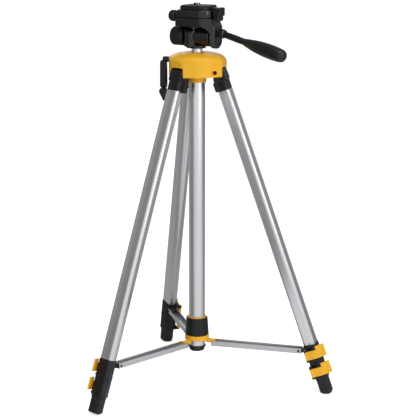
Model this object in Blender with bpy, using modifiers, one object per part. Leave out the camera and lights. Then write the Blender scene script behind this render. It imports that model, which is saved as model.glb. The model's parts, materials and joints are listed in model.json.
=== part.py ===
"""Compact three-section tripod with a pan and tilt head, for a laser level.

Run it with blender --background --python part.py, or from Blender's text editor.
Sizes are in millimetres up to the helpers that make meshes, which turn them into metres.
The ground is z = 0, +Z is up, and the column stands at COLUMN_X, COLUMN_Y so that the
tripod's bounding box is centred on the origin.
"""

import math

import bmesh
import bpy
from mathutils import Matrix, Vector

MM = 0.001
GAP = 0.3  # between neighbouring pieces

# Stance
COLUMN_X, COLUMN_Y = -23.39, -26.95
LEG_BEARINGS = (224.17, 344.17, 104.17)  # degrees from +X, one leg each
LEG_TILT = 19.58  # degrees from vertical
HINGE_RHO, HINGE_Z = 32.3, 474.0  # leg hinge, from the column axis and the ground
LEG_LENGTH = 501.6  # hinge to the middle of the foot's end

# Leg section: circles (outward, sideways, radius) whose hull is the outline of the upper tube
LEG_CIRCLES = ((5.3, 7.1, 4.5), (5.3, -7.1, 4.5), (-2.0, 0.0, 8.0), (3.5, 0.0, 7.0))
TUBE_WALL = 1.2

# Stations along a leg, up from the foot's end
FOOT_TOP = 24.0
LOWER_COLLAR_TOP = 50.0
UPPER_COLLAR_TOP = 77.0
TUBE_TOP = 473.0
COLLAR_PROUD = 0.9
UPPER_LEVER, LOWER_LEVER = 56.4, 29.6  # undersides of the clamp levers
LEVER_PIVOT = (-7.4, -14.6)  # outward and sideways from the leg's axis
LEVER_HEIGHT, LEVER_HALF = 12.6, 1.25

# Column and spreader
COLUMN_RADIUS, OUTER_TUBE_RADIUS = 8.1, 12.0
PLUG_BOTTOM, TUBE_BOTTOM, TUBE_HEAD = 48.8, 54.3, 480.0
HUB_BOTTOM, HUB_TOP = 66.8, 74.3
HUB_RADIUS = 18.3
SLEEVE_TOP = 101.5
COLUMN_TOP, COLUMN_BOTTOM, COLUMN_BORE = 506.5, 92.0, 6.6
BRACE_Z = 62.5
BRACE_OUTER, BRACE_INNER = 158.1, 24.0  # outer pivot and inner end, from the column axis
BRACE_WIDTH, BRACE_HEIGHT, BRACE_WALL, BRACE_END = 13.8, 8.0, 1.2, 4.0
RIVET_RADIUS = 1.6

# Crown
CROWN_BOTTOM, CROWN_TOP = 467.5, 501.4
SLOT_INNER, SLOT_TOP, SLOT_HALF = 19.1, 481.0, 12.3
PIN_RADIUS = 2.9
CRANK_BEARING, CRANK_Z, CRANK_ARM = 164.17, 489.0, 34.0

# Head: its own frame is turned by HEAD_YAW, with x along the tilt axis
HEAD_YAW = -28.0  # degrees
TILT_Z, SEAT_TOP, POST_TOP = 523.0, 510.5, 533.5
BARREL_RADIUS, SWING_RADIUS = 13.2, 14.9
HOUSING_BOTTOM, SKIRT_BOTTOM, SEAM_Z = 538.4, 529.4, 550.5
PLATFORM_TOP = 562.6
PLATE_TOP = 568.6
HEAD_LEFT, HEAD_RIGHT, HEAD_HALF_DEPTH = -23.8, 28.9, 20.0
HEAD_ROUND = 18.0  # radius of the head's broad corner, front and right
HOUSING_LEFT, ARM_INNER, ARM_OUTER = -27.5, 27.0, 34.0
SCREW_X, SCREW_Y = 2.5, -1.0
STUD_X, STUD_Y = -4.5, 2.0
FLIP_KNOB_Y, FLIP_KNOB_Z = -6.0, 552.4
HANDLE_FROM = (32.1, -14.6, 530.4)  # where the ferrule meets the arm, from the column axis
HANDLE_BEARING, HANDLE_DROP = -40.0, 13.0  # degrees
FERRULE_LENGTH, ROD_LENGTH, GRIP_LENGTH = 11.0, 36.5, 72.0

for old in list(bpy.data.objects):
    bpy.data.objects.remove(old)

PARTS = bpy.data.collections.new("laser_level_tripod")
CUTTERS = bpy.data.collections.new("cutters")
for group in (PARTS, CUTTERS):
    bpy.context.scene.collection.children.link(group)


def material(name, colour, roughness, metallic=0.0):
    made = bpy.data.materials.new(name)
    made.use_nodes = True
    shader = made.node_tree.nodes["Principled BSDF"]
    shader.inputs["Base Color"].default_value = (*colour, 1.0)
    shader.inputs["Roughness"].default_value = roughness
    shader.inputs["Metallic"].default_value = metallic
    return made


YELLOW = material("yellow_plastic", (0.82, 0.45, 0.03), 0.38)
BLACK = material("black_plastic", (0.022, 0.022, 0.024), 0.42)
RUBBER = material("black_rubber", (0.018, 0.018, 0.018), 0.75)
SILVER = material("anodised_aluminium", (0.72, 0.73, 0.75), 0.32, 1.0)
BRACE_GREY = material("brace_aluminium", (0.62, 0.63, 0.64), 0.38, 1.0)
STEEL = material("bright_steel", (0.70, 0.70, 0.70), 0.22, 1.0)


# Placing ---------------------------------------------------------------------------------


def frame(name, at, turn=(0.0, 0.0, 0.0), parent=None):
    """An empty that other pieces are placed from; turn is in degrees."""
    made = bpy.data.objects.new(name, None)
    made.empty_display_size = 0.02
    made.location = Vector(at) * MM
    made.rotation_euler = [math.radians(angle) for angle in turn]
    made.parent = parent
    PARTS.objects.link(made)
    return made


def piece(name, mesh, parent, look=None, at=(0, 0, 0), turn=(0, 0, 0)):
    """An object from a mesh. Without a look it is a cutter, which isn't part of the tripod."""
    made = bpy.data.objects.new(name, mesh)
    made.location = Vector(at) * MM
    made.rotation_euler = [math.radians(angle) for angle in turn]
    made.parent = parent
    if look is None:
        made.hide_render = True
        made.display_type = "WIRE"
        CUTTERS.objects.link(made)
    else:
        mesh.materials.append(look)
        mesh.shade_smooth()
        mesh.set_sharp_from_angle(angle=math.radians(35))
        PARTS.objects.link(made)
    return made


def combine(target, operation, *tools):
    """Adds a Boolean with each tool, and makes the tool a helper that isn't built."""
    for tool in tools:
        boolean = target.modifiers.new(f"{operation.lower()}_{tool.name}", "BOOLEAN")
        boolean.operation = operation
        boolean.object = tool
    return target


def join(target, *tools):
    return combine(target, "UNION", *tools)


def cut(target, *tools):
    return combine(target, "DIFFERENCE", *tools)


def robust(target):
    """Uses the manifold solver, for pieces whose small steps leave the exact one an open edge."""
    for boolean in target.modifiers:
        if boolean.type == "BOOLEAN":
            boolean.solver = "MANIFOLD"
    return target


def bevel(target, width, segments=1, angle=40):
    made = target.modifiers.new("edges", "BEVEL")
    made.width = width * MM
    made.segments = segments
    made.limit_method = "ANGLE"
    made.angle_limit = math.radians(angle)
    return target


# Shapes ----------------------------------------------------------------------------------


def hull(circles, offset=0.0, steps=32):
    """Outline of the shape that a band stretched round these circles takes, grown by offset."""
    points = []
    for step in range(steps):
        angle = math.tau * (step + 0.5) / steps
        way = Vector((math.cos(angle), math.sin(angle)))
        x, y, radius = max(circles, key=lambda c: way.dot(Vector(c[:2])) + c[2])
        points.append(Vector((x, y)) + way * (radius + offset))
    return points


def circle(radius, at=(0.0, 0.0), steps=24):
    return hull([(*at, radius)], steps=steps)


def band(path, half, end_steps=5):
    """Outline of a strip of even thickness along a path, with round ends."""
    path = [Vector(point) for point in path]
    sides = []
    for index, point in enumerate(path):
        before = path[max(index - 1, 0)]
        after = path[min(index + 1, len(path) - 1)]
        along = (after - before).normalized()
        sides.append(Vector((-along.y, along.x)) * half)
    outline = [point + side for point, side in zip(path, sides)]
    outline += [path[-1] + rotated(sides[-1], -180 * n / end_steps) for n in range(1, end_steps)]
    outline += [point - side for point, side in reversed(list(zip(path, sides)))]
    outline += [path[0] - rotated(sides[0], -180 * n / end_steps) for n in range(1, end_steps)]
    return outline


def rotated(way, degrees):
    return Matrix.Rotation(math.radians(degrees), 2) @ way


def arc(centre, radius, start, end, steps):
    """Points along an arc, angles in degrees."""
    angles = [math.radians(start + (end - start) * n / steps) for n in range(steps + 1)]
    return [Vector((centre[0] + radius * math.cos(a), centre[1] + radius * math.sin(a))) for a in angles]


def prism(name, outlines, low, high):
    """Mesh of one or more outlines, an inner one being a hole, from z = low to z = high."""
    curve = bpy.data.curves.new(name, "CURVE")
    curve.dimensions = "2D"
    curve.fill_mode = "BOTH"
    curve.extrude = (high - low) / 2 * MM
    for outline in outlines:
        spline = curve.splines.new("POLY")
        spline.points.add(len(outline) - 1)
        spline.use_cyclic_u = True
        for point, place in zip(spline.points, outline):
            point.co = (place[0] * MM, place[1] * MM, 0.0, 1.0)
    guide = bpy.data.objects.new(name, curve)
    CUTTERS.objects.link(guide)
    graph = bpy.context.evaluated_depsgraph_get()
    mesh = bpy.data.meshes.new_from_object(guide.evaluated_get(graph))
    bpy.data.objects.remove(guide)
    mesh.transform(Matrix.Translation((0, 0, (high + low) / 2 * MM)))
    shape = bmesh.new()
    shape.from_mesh(mesh)
    bmesh.ops.remove_doubles(shape, verts=shape.verts, dist=1e-6)
    bmesh.ops.recalc_face_normals(shape, faces=shape.faces)
    shape.to_mesh(mesh)
    shape.free()
    mesh.materials.clear()
    return mesh


def block(name, low, high, round_by=0.0, segments=1):
    """Mesh of a box between two corners, its edges rounded."""
    shape = bmesh.new()
    bmesh.ops.create_cube(shape, size=1.0)
    low, high = Vector(low) * MM, Vector(high) * MM
    bmesh.ops.scale(shape, vec=high - low, verts=shape.verts)
    bmesh.ops.translate(shape, vec=(high + low) / 2, verts=shape.verts)
    if round_by:
        bmesh.ops.bevel(
            shape, geom=shape.edges[:], offset=round_by * MM, segments=segments,
            affect="EDGES", profile=0.5,
        )
    mesh = bpy.data.meshes.new(name)
    shape.to_mesh(mesh)
    shape.free()
    return mesh


def turned(name, profile, parent, look=None, at=(0, 0, 0), turn=(0, 0, 0), steps=32, ring=False):
    """A turned piece: the profile is (radius, z) from the top down, and a ring's one closes."""
    mesh = bpy.data.meshes.new(name)
    count = len(profile)
    edges = [(n, (n + 1) % count) for n in range(count if ring else count - 1)]
    mesh.from_pydata([(r * MM, 0.0, z * MM) for r, z in profile], edges, [])
    made = piece(name, mesh, parent, look, at, turn)
    screw = made.modifiers.new("turn", "SCREW")
    screw.steps = screw.render_steps = steps
    screw.use_merge_vertices = True
    screw.merge_threshold = 1e-6
    screw.use_smooth_shade = True
    return made


def pin(name, radius, low, high, parent, look=None, at=(0, 0, 0), turn=(0, 0, 0), steps=20):
    """A plain cylinder along its own z."""
    profile = [(0, high), (radius, high), (radius, low), (0, low)]
    return turned(name, profile, parent, look, at, turn, steps)


def knob_outline(radius, ribs, depth):
    """A round outline with finger grooves."""
    points = []
    for n in range(ribs * 4):
        angle = math.tau * n / (ribs * 4)
        out = radius - (depth if n % 4 == 0 else 0.0)
        points.append(Vector((out * math.cos(angle), out * math.sin(angle))))
    return points


TRIPOD = frame("tripod", (COLUMN_X, COLUMN_Y, 0.0))
CRANK = frame("crank_frame", (0, 0, CRANK_Z), (0, 0, CRANK_BEARING), TRIPOD)


# Column and crown ------------------------------------------------------------------------


def crown_plan():
    """Circles of the crown's plan: a round body, a little fuller beside each leg's slot."""
    circles = [(0, 0, 41.0)]
    for bearing in LEG_BEARINGS:
        out = Vector((math.cos(math.radians(bearing)), math.sin(math.radians(bearing))))
        side = Vector((-out.y, out.x))
        for sign in (-1, 1):
            corner = out * 30.6 + side * (sign * 7.6)
            circles.append((corner.x, corner.y, 11.8))
    return circles


def make_crown():
    """Domed crown with a slot and a pin for each leg, and the ring below it."""
    solid = prism("crown_body", [hull(crown_plan(), steps=60)], CROWN_BOTTOM, CROWN_TOP + 2)
    crown = piece("crown_body", solid, TRIPOD, YELLOW)
    dome = [
        (0, CROWN_TOP), (13, CROWN_TOP - 0.2), (22, 500.4), (31, 498.6), (36.5, 496.6), (40, 494.0),
        (42.4, 490.6), (43.8, 485.0), (44.2, CROWN_BOTTOM - 2), (0, CROWN_BOTTOM - 2),
    ]
    combine(crown, "INTERSECT", turned("crown_dome", dome, TRIPOD, steps=36))
    narrow, wide = COLUMN_RADIUS + GAP, OUTER_TUBE_RADIUS + GAP
    bore = [
        (0, CROWN_TOP + 2), (narrow, CROWN_TOP + 2), (narrow, TUBE_HEAD + GAP),
        (wide, TUBE_HEAD + GAP), (wide, CROWN_BOTTOM - 3), (0, CROWN_BOTTOM - 3),
    ]
    cut(crown, turned("crown_bore", bore, TRIPOD))
    for number, bearing in enumerate(LEG_BEARINGS, 1):
        station = frame(f"crown_slot_frame_{number}", (0, 0, 0), (0, 0, bearing), TRIPOD)
        slot = block("slot", (SLOT_INNER, -SLOT_HALF, CROWN_BOTTOM - 4), (60, SLOT_HALF, SLOT_TOP), 0.8)
        cut(crown, piece(f"leg_slot_{number}", slot, station))
        hinge = {"at": (HINGE_RHO, 0, HINGE_Z), "turn": (90, 0, 0)}
        cut(crown, pin(f"leg_pin_bore_{number}", PIN_RADIUS + GAP, -17.0, 40.0, station, **hinge))
        pin(f"leg_{number}_hinge_pin", PIN_RADIUS, -16.5, 14.6, station, STEEL, **hinge)
    cut(crown, pin("crank_bore", 3.0, 20.0, 60.0, CRANK, turn=(0, 90, 0)))
    top, bottom = CROWN_BOTTOM - GAP, CROWN_BOTTOM - 10.0
    ring = [(13.6, top), (13.6, bottom), (wide, bottom), (wide, top)]
    turned("crown_lower_ring", ring, TRIPOD, YELLOW, ring=True)


def make_column():
    """Outer tube with its end plug and stop ring, a bushing in its top and the column that slides."""
    wall = OUTER_TUBE_RADIUS - TUBE_WALL
    outer = OUTER_TUBE_RADIUS
    tube = [(outer, TUBE_HEAD), (outer, TUBE_BOTTOM), (wall, TUBE_BOTTOM), (wall, TUBE_HEAD)]
    turned("outer_tube", tube, TRIPOD, SILVER, ring=True)
    inside, shoulder = wall - GAP, TUBE_BOTTOM - GAP
    plug = [
        (0, 70), (inside, 70), (inside, shoulder), (11.6, shoulder), (11.6, 51.2), (10.4, 49.4),
        (8.4, PLUG_BOTTOM), (0, PLUG_BOTTOM),
    ]
    turned("tube_end_plug", plug, TRIPOD, BLACK)
    stop = [(13.4, 57.4), (13.4, 54.8), (outer + GAP, 54.8), (outer + GAP, 57.4)]
    turned("stop_ring", stop, TRIPOD, BLACK, ring=True)
    high, low, bore = TUBE_HEAD - 4, TUBE_HEAD - 22, COLUMN_RADIUS + GAP
    bush = [(inside, high), (inside, low), (bore, low), (bore, high)]
    turned("column_bushing", bush, TRIPOD, BLACK, ring=True)
    column = [
        (0, COLUMN_TOP), (COLUMN_RADIUS, COLUMN_TOP), (COLUMN_RADIUS, COLUMN_BOTTOM),
        (COLUMN_BORE, COLUMN_BOTTOM), (COLUMN_BORE, COLUMN_TOP - 6), (0, COLUMN_TOP - 6),
    ]
    turned("centre_column", column, TRIPOD, SILVER)


def make_crank():
    """A shaft with its boss, an arm that hangs from the boss and a folding grip under the arm."""
    boss = [(0, 51.4), (3.4, 51.4), (4.2, 50.4), (4.2, 42.3), (2.6, 42.3), (2.6, 24.0), (0, 24.0)]
    turned("crank_boss", boss, CRANK, BLACK, turn=(0, 90, 0), steps=24)
    arm_plan = hull([(10.6, 0, 6.0), (CRANK_ARM, 0, 6.4)], steps=20)
    mesh = prism("crank_arm", [arm_plan], 46.4, 54.8)
    bevel(piece("crank_arm", mesh, CRANK, BLACK, turn=(0, 90, 0)), 1.2)
    fold = frame("crank_grip_axis", (51.4, 0, -CRANK_ARM - 13.0), (0, 0, 0), CRANK)
    grip_plan = hull([(0, 0, 5.3), (-3.0, -10.6, 3.2)], steps=16)
    mesh = prism("crank_grip", [grip_plan], -5.4, 5.4)
    bevel(piece("crank_grip", mesh, fold, BLACK, turn=(90, 0, 0)), 1.0)


def make_spreader():
    """Yellow hub on the outer tube, with an ear for each brace, and the black sleeve on its neck."""
    neck, bore = 14.1, OUTER_TUBE_RADIUS + GAP
    inside = neck + 0.4
    sleeve = [
        (inside + 0.4, SLEEVE_TOP), (16.1, SLEEVE_TOP - 0.8), (17.8, HUB_TOP + 1.4),
        (17.4, HUB_TOP + GAP), (inside, HUB_TOP + GAP), (inside, SLEEVE_TOP),
    ]
    turned("hub_sleeve", sleeve, TRIPOD, BLACK, ring=True)
    ring = [
        (neck, SLEEVE_TOP + 1.0), (neck, HUB_TOP), (HUB_RADIUS - 0.8, HUB_TOP),
        (HUB_RADIUS, HUB_TOP - 0.8), (HUB_RADIUS, HUB_BOTTOM + 0.6), (HUB_RADIUS - 0.6, HUB_BOTTOM),
        (bore, HUB_BOTTOM), (bore, SLEEVE_TOP + 1.0),
    ]
    hub = turned("hub", ring, TRIPOD, YELLOW, ring=True)
    for number, bearing in enumerate(LEG_BEARINGS, 1):
        station = frame(f"hub_ear_frame_{number}", (0, 0, 0), (0, 0, bearing), TRIPOD)
        ear = block("hub_ear", (14.2, -3.2, BRACE_Z), (29.0, 3.2, HUB_BOTTOM + 1.0))
        join(hub, piece(f"hub_ear_{number}", ear, station))


# Legs ------------------------------------------------------------------------------------


def leg_prism(name, low, high, offset, inner=None, steps=20):
    """Part of a leg between two stations up from the foot's end."""
    outlines = [hull(LEG_CIRCLES, offset, steps)]
    if inner is not None:
        outlines.append(hull(LEG_CIRCLES, inner, steps))
    return prism(name, outlines, low - LEG_LENGTH, high - LEG_LENGTH)


def make_collar(name, low, high, leg, bore, lever_low, lugs=()):
    """A clamp collar with two ears that hold its lever's pin, a bore and a wider socket on top."""
    collar = piece(name, leg_prism(name, low, high, COLLAR_PROUD), leg, BLACK)
    bevel(collar, 0.7)
    join(collar, *lugs)
    x, y = LEVER_PIVOT
    foot = lever_low - LEG_LENGTH
    for ear, z in enumerate((foot - 2.6, foot + LEVER_HEIGHT + 0.8)):
        plan = hull([(x, y, 2.7), (x + 1.5, y + 6.0, 4.2)], steps=16)
        join(collar, piece(f"{name}_ear_{ear}", prism("ear", [plan], z, z + 2.4), leg))
    stub = pin(f"{name}_lever_pin", 1.2, foot - 1.5, foot + 14.5, leg, at=(x, y, 0), steps=12)
    join(collar, stub)
    cut(collar, piece(f"{name}_bore", leg_prism("bore", low - 1, high + 1, bore), leg))
    socket = leg_prism("socket", high - 8.4, high + 2, bore + TUBE_WALL + GAP)
    cut(collar, piece(f"{name}_socket", socket, leg))
    return robust(collar)


def make_lever(name, low, leg):
    """A yellow clamp lever: a barrel on the pin, a band along the collar and a thumb tab."""
    x, y = LEVER_PIVOT
    lever = frame(name + "_axis", (x, y, -LEG_LENGTH), (0, 0, 0), leg)
    path = [(x, y), (0, -14.8), (5, -14.6), (9, -13.4), (13, -11.4), (17, -9.2), (20, -7.6)]
    path = [Vector(point) - Vector(LEVER_PIVOT) for point in path]
    bottom, top = low + 0.2, low + 0.2 + LEVER_HEIGHT
    made = piece(name, prism(name, [band(path, LEVER_HALF)], bottom, top), lever, YELLOW)
    join(made, pin(name + "_barrel", 2.5, bottom, top, lever, steps=16))
    tab = prism("tab", [band([path[3], path[4], path[6]], LEVER_HALF)], bottom + 0.4, top + 5.4)
    join(made, piece(name + "_tab", tab, lever))
    cut(made, pin(name + "_bore", 1.5, low - 1, low + 20, lever, steps=12))
    return robust(made)


def make_foot(number, leg, plan):
    """Rubber foot, its sole cut level with the ground."""
    name = f"leg_{number}_foot"
    foot = piece(name, leg_prism(name, -1.5, FOOT_TOP - GAP, -0.9), leg, RUBBER)
    bevel(foot, 1.6, 2)
    cut(foot, piece(name + "_socket", leg_prism("socket", 8.0, FOOT_TOP + 2, -2.7), leg))
    cut(foot, piece(name + "_ground", block("ground", (100, -60, -30), (280, 60, 0)), plan))


def make_bracket(number, leg):
    """Black hinge bracket: a head that turns in the crown's slot, a shoulder and a plug in the tube."""
    name = f"leg_{number}_bracket"
    body = piece(name, leg_prism(name, TUBE_TOP + GAP, 492.0, 0.0), leg, BLACK)
    bevel(body, 0.8)
    side = hull([(0, 0, 6.2), (3.8, -2.0, 6.0), (-6, -12, 3), (7.5, -12, 3)], steps=24)
    head = prism("head", [side], -11.4, 11.4)
    join(body, piece(name + "_head", head, leg, turn=(90, 0, 0)))
    step = block("step", (-11.6, -10.6, -28.2), (-4.0, 10.6, -14.0), 1.0)
    join(body, piece(name + "_step", step, leg))
    plug = leg_prism("plug", 446.0, TUBE_TOP + 2, -TUBE_WALL - GAP)
    join(body, piece(name + "_plug", plug, leg))
    cut(body, pin(name + "_bore", PIN_RADIUS + GAP, -30, 30, leg, turn=(90, 0, 0)))


def make_brace(number, station):
    """Aluminium channel, open upward, from the collar's lug to the hub's ear."""
    name = f"brace_{number}"
    length = BRACE_OUTER - BRACE_INNER
    half, inside = BRACE_WIDTH / 2, BRACE_WIDTH / 2 - BRACE_WALL
    low, high = -BRACE_HEIGHT / 2, BRACE_HEIGHT / 2
    bar = block(name, (-length, -half, low), (BRACE_END, half, high))
    brace = piece(name, bar, station, BRACE_GREY)
    hollow = block("hollow", (-length - 2, -inside, low + BRACE_WALL), (BRACE_END + 2, inside, high + 4))
    cut(brace, piece(name + "_hollow", hollow, station))
    cut(brace, pin(name + "_bore", RIVET_RADIUS + GAP, -20, 20, station, turn=(90, 0, 0), steps=16))


def make_leg(number):
    """One leg: bracket, three tubes, two collars with levers, foot and the brace to the hub."""
    plan = frame(f"leg_{number}_plan", (0, 0, 0), (0, 0, LEG_BEARINGS[number - 1]), TRIPOD)
    leg = frame(f"leg_{number}_hinge", (HINGE_RHO, 0, HINGE_Z), (0, -LEG_TILT, 0), plan)
    name = f"leg_{number}_"
    make_bracket(number, leg)
    second = TUBE_WALL + GAP
    third = 2 * second
    tubes = (("upper_tube", 69.0, TUBE_TOP, 0.0), ("middle_tube", 44.0, 430.0, -second),
             ("lower_tube", 8.5, 410.0, -third))
    for tube, low, high, offset in tubes:
        mesh = leg_prism(tube, low, high, offset, offset - TUBE_WALL)
        piece(name + tube, mesh, leg, SILVER)
    pivot = frame(f"brace_{number}_pivot", (BRACE_OUTER, 0, BRACE_Z), (0, 0, 0), plan)
    lug = prism("lug", [hull([(0, 0, 2.4), (9.0, 1.0, 3.2)], steps=20)], -4.0, 4.0)
    lug = piece(name + "brace_lug", lug, pivot, turn=(90, 0, 0))
    end = BRACE_WIDTH / 2 + 0.8
    rivet = pin(name + "brace_pin", RIVET_RADIUS, -end, end, pivot, turn=(90, 0, 0), steps=14)
    low, bore = LOWER_COLLAR_TOP + GAP, GAP - second
    make_collar(name + "upper_collar", low, UPPER_COLLAR_TOP, leg, bore, UPPER_LEVER, (lug, rivet))
    make_lever(name + "upper_lever", UPPER_LEVER, leg)
    make_collar(name + "lower_collar", FOOT_TOP, LOWER_COLLAR_TOP, leg, GAP - third, LOWER_LEVER)
    make_lever(name + "lower_lever", LOWER_LEVER, leg)
    make_foot(number, leg, plan)
    make_brace(number, pivot)


# Head ------------------------------------------------------------------------------------


def make_head():
    head = frame("head", (0, 0, 0), (0, 0, HEAD_YAW), TRIPOD)
    make_pan_base(head)
    tilt = frame("tilt_axis", (0, 0, TILT_Z), (0, 0, 0), head)
    make_tilt_body(head)
    make_platform(head)
    make_knobs(tilt, head)
    make_handle()


def make_pan_base(head):
    """A post and a barrel on the tilt axis, both on a round seat that turns on the column."""
    seat = hull([(-5.5, 0, 10.5), (0.5, 0, 12.5)], steps=32)
    base = piece("pan_base", prism("pan_base", [seat], COLUMN_TOP + GAP, SEAT_TOP), head, BLACK)
    post = prism("post", [circle(10.2, (-7.4, -4.2), 28)], SEAT_TOP - 1.5, POST_TOP)
    join(base, piece("pan_post", post, head))
    tilt = {"at": (0, 0, TILT_Z), "turn": (0, 90, 0)}
    join(base, pin("pan_barrel", BARREL_RADIUS, 1.2, 24.0, head, **tilt, steps=36))
    join(base, pin("pan_barrel_end", 9.0, 20.0, ARM_INNER - GAP, head, **tilt, steps=28))
    room = hull([(0, TILT_Z, SWING_RADIUS), (-20, 500, 6), (20, 500, 6)], steps=36)
    swing = piece("pan_swing", prism("swing", [room], -60, 60), head, turn=(90, 0, 90))
    combine(base, "INTERSECT", swing)
    pin("pan_lock_screw", 2.8, POST_TOP + GAP, 535.6, head, STEEL, at=(-3.6, -3.0, 0))


def make_tilt_body(head):
    """A housing over the pan base, with a rear skirt and one arm down to the tilt axis."""
    half, curve = HEAD_HALF_DEPTH, 13.0
    front = [
        Vector((HOUSING_LEFT, SKIRT_BOTTOM)), Vector((ARM_INNER, SKIRT_BOTTOM)),
        Vector((ARM_INNER, 500.0)), Vector((ARM_OUTER, 500.0)), Vector((ARM_OUTER, 538.0)),
        Vector((HEAD_RIGHT, 544.0)), Vector((HEAD_RIGHT, SEAM_Z)), Vector((HOUSING_LEFT, SEAM_Z)),
    ]
    mesh = prism("tilt_body", [front], -half - 2, half + 2)
    body = piece("tilt_body", mesh, head, BLACK, turn=(90, 0, 0))
    sides = [(0, TILT_Z, 15.8)]
    sides += [(y, z, 4.0) for y in (4 - half, half - 4) for z in (545.0, 560.0)]
    plan = [
        (HOUSING_LEFT + 6, -14.0, 6.0), (HOUSING_LEFT + 6, 14.0, 6.0),
        (HEAD_RIGHT - 3, 17.0, 3.0), (ARM_OUTER - 3, 13.0, 3.0),
        (HEAD_RIGHT - HEAD_ROUND, HEAD_ROUND - half, HEAD_ROUND), (ARM_OUTER - 7, -5.0, 7.0),
    ]
    side = piece("tilt_side", prism("side", [hull(sides, steps=44)], -60, 60), head, turn=(90, 0, 90))
    above = piece("tilt_plan", prism("plan", [hull(plan, steps=36)], 490, 570), head)
    combine(body, "INTERSECT", side, above)
    arch = [
        Vector((-60, 500)), Vector((ARM_INNER - 0.02, 500)),
        *arc((ARM_INNER - curve, HOUSING_BOTTOM - curve), curve - 0.02, 0, 90, 6),
        Vector((-60, HOUSING_BOTTOM)),
    ]
    cut(body, piece("tilt_arch", prism("arch", [arch], -8.0, 40.0), head, turn=(90, 0, 0)))
    tilt = {"at": (0, 0, TILT_Z), "turn": (0, 90, 0)}
    cut(body, pin("barrel_clearance", SWING_RADIUS + GAP, -60.0, ARM_INNER, head, **tilt, steps=40))
    relief = block("relief", (-60, 12.6, SEAM_Z - 1.8), (60, 30, SEAM_Z + 5))
    cut(body, piece("flip_relief", relief, head))


def make_platform(head):
    """The platform with its quick-release plate, the plate's pad, screw and pin, and the lever."""
    left, right, half = HEAD_LEFT, HEAD_RIGHT, HEAD_HALF_DEPTH
    corners = [
        (left + 5, 5 - half, 5.0), (left + 5, half - 5, 5.0), (right - 5, half - 5, 5.0),
        (right - HEAD_ROUND, HEAD_ROUND - half, HEAD_ROUND),
    ]
    mesh = prism("head_platform", [hull(corners, steps=36)], SEAM_Z + GAP, PLATFORM_TOP)
    platform = bevel(piece("head_platform", mesh, head, BLACK), 1.6, 2)
    circles = [(-15.0, -14.4, 4.5), (-15.0, 13.0, 4.5), (20.8, 13.0, 4.5), (12.3, -5.9, 13.0)]
    mesh = prism("quick_release_plate", [hull(circles)], PLATFORM_TOP + GAP, PLATE_TOP - 2.0)
    release = bevel(piece("quick_release_plate", mesh, head, BLACK), 0.6)
    mesh = prism("plate_pad", [hull(circles, -1.0)], PLATE_TOP - 1.7, PLATE_TOP)
    cushion = piece("plate_pad", mesh, head, RUBBER)
    screw_at, stud_at = (SCREW_X, SCREW_Y, 0), (STUD_X, STUD_Y, 0)
    cut(platform, pin("stud_pocket", 2.2, PLATFORM_TOP - 4.5, 580, head, at=stud_at, steps=16))
    for layer in (release, cushion):
        cut(layer, pin(layer.name + "_screw_bore", 3.6, 560, 580, head, at=screw_at))
        cut(layer, pin(layer.name + "_stud_bore", 2.2, 560, 580, head, at=stud_at))
    pin("camera_screw", 3.1, PLATFORM_TOP + 0.6, 572.0, head, STEEL, at=screw_at)
    pin("antitwist_pin", 1.6, PLATFORM_TOP + 0.6, 571.6, head, STEEL, at=stud_at)
    mesh = block("quick_release_lever", (HEAD_RIGHT + 0.7, -9, 554.0), (41.5, 8, 566.2), 1.5, 2)
    lever = piece("quick_release_lever", mesh, head, BLACK)
    join(lever, piece("lever_tail", block("tail", (32.5, -8, 547.0), (39.5, 7, 555.5), 1.5), head))


def make_knobs(tilt, head):
    """The tilt lock on the tilt axis, and the lock of the platform's flip above it."""
    mesh = prism("tilt_lock_knob", [knob_outline(13.7, 14, 0.9)], -40.4, -18.4)
    bevel(piece("tilt_lock_knob", mesh, tilt, BLACK, turn=(0, 90, 0)), 2.4, 2, 60)
    place = {"at": (0, FLIP_KNOB_Y, FLIP_KNOB_Z), "turn": (0, 90, 0)}
    mesh = prism("platform_lock_knob", [circle(8.2)], -41.6, -30.0)
    small = bevel(piece("platform_lock_knob", mesh, head, BLACK, **place), 2.0, 2)
    join(small, pin("platform_lock_stem", 4.0, -31.0, HOUSING_LEFT - GAP, head, **place))
    join(small, pin("platform_lock_shaft", 1.5, -29.0, HEAD_LEFT - GAP, head, **place, steps=12))


def make_handle():
    """The pan handle: a ferrule in the arm, a rod and a soft grip that tapers at both ends."""
    turn = (0, 90 + HANDLE_DROP, HANDLE_BEARING)
    handle = frame("handle_axis", HANDLE_FROM, turn, TRIPOD)
    end = FERRULE_LENGTH
    ferrule = [(0, end), (5.0, end), (6.6, end - 2), (6.6, 1.2), (0, 1.2)]
    turned("handle_ferrule", ferrule, handle, BLACK, steps=24)
    rod_end = end + GAP + ROD_LENGTH
    pin("handle_rod", 4.6, end + GAP, rod_end, handle, BLACK)
    start = rod_end + GAP
    end = start + GRIP_LENGTH
    grip = [
        (0, end), (4.4, end), (7.6, end - 2.5), (9.4, end - 8), (10.3, end - 26), (9.2, start + 24),
        (6.6, start + 7), (5.2, start), (0, start),
    ]
    turned("handle_grip", grip, handle, RUBBER, steps=28)


make_crown()
make_column()
make_crank()
make_spreader()
for leg_number in (1, 2, 3):
    make_leg(leg_number)
make_head()
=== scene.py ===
import json
import math

import bmesh
import bpy
from mathutils import Matrix, Vector


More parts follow.
